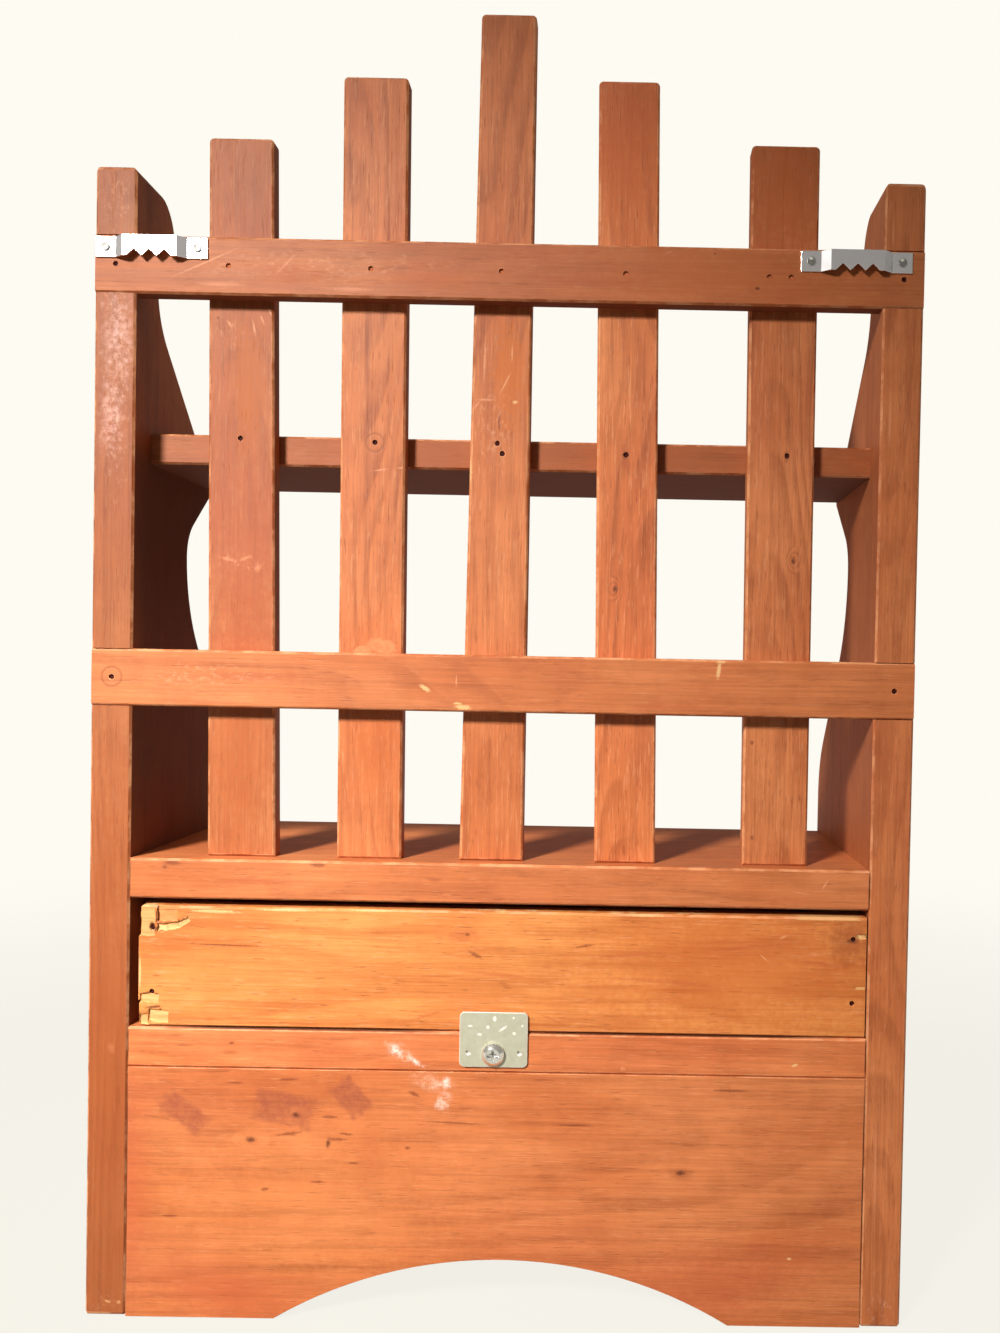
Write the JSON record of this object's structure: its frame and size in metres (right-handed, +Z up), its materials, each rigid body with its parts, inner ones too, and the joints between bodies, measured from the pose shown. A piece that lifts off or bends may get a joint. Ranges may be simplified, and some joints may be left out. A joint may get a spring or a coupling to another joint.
{
  "type": "wall shelf with drawer",
  "caption": "Small wooden wall shelf with scrolled sides, a back of upright slats on two rails, an arched apron and a sliding drawer, hung by sawtooth hangers.",
  "frame": {"origin": "on the ground plane, under the middle of the whole part's box", "axes": "+Z up; the open front with the drawer's knob faces -Y; the back, which goes to the wall, faces +Y; +X is to the right as seen from the front"},
  "size_m": [0.305, 0.123, 0.489],
  "materials": {
    "stained_pine": "orange-brown stain, satin",
    "drawer_pine": "lighter stain, satin",
    "panel_wood": "unfinished panel",
    "knob_wood": "orange-brown stain, satin",
    "hanger_zinc": "bright zinc plate",
    "plate_zinc": "dull zinc plate",
    "screw_zinc": "bright zinc plate",
    "nail_steel": "bare wire nail"
  },
  "bodies": {
    "case": {"left_side": "stained_pine", "right_side": "stained_pine", "top_rail": "stained_pine", "middle_rail": "stained_pine", "slat_1": "stained_pine", "slat_2": "stained_pine", "slat_3": "stained_pine", "slat_4": "stained_pine", "slat_5": "stained_pine", "shelf": "stained_pine", "drawer_top_board": "stained_pine", "drawer_floor_board": "stained_pine", "apron": "stained_pine", "left_hanger": "hanger_zinc", "right_hanger": "hanger_zinc", "hanger_nails": "nail_steel", "stop_plate": "plate_zinc", "stop_plate_screw": "screw_zinc", "rail_end_nails": "nail_steel", "slat_nails": "nail_steel", "shelf_nails": "nail_steel", "case_nails": "nail_steel"},
    "drawer": {"drawer_front": "drawer_pine", "drawer_back": "drawer_pine", "drawer_left_side": "drawer_pine", "drawer_right_side": "drawer_pine", "drawer_bottom": "panel_wood", "drawer_back_nails": "nail_steel", "drawer_front_nails": "nail_steel", "drawer_knob": "knob_wood", "knob_screw": "screw_zinc"}
  },
  "joints": [
    {"name": "drawer_slide", "type": "slide", "parent": "case", "child": "drawer", "axis": [0, -1, 0], "range_m": [0, 0.085]}
  ]
}
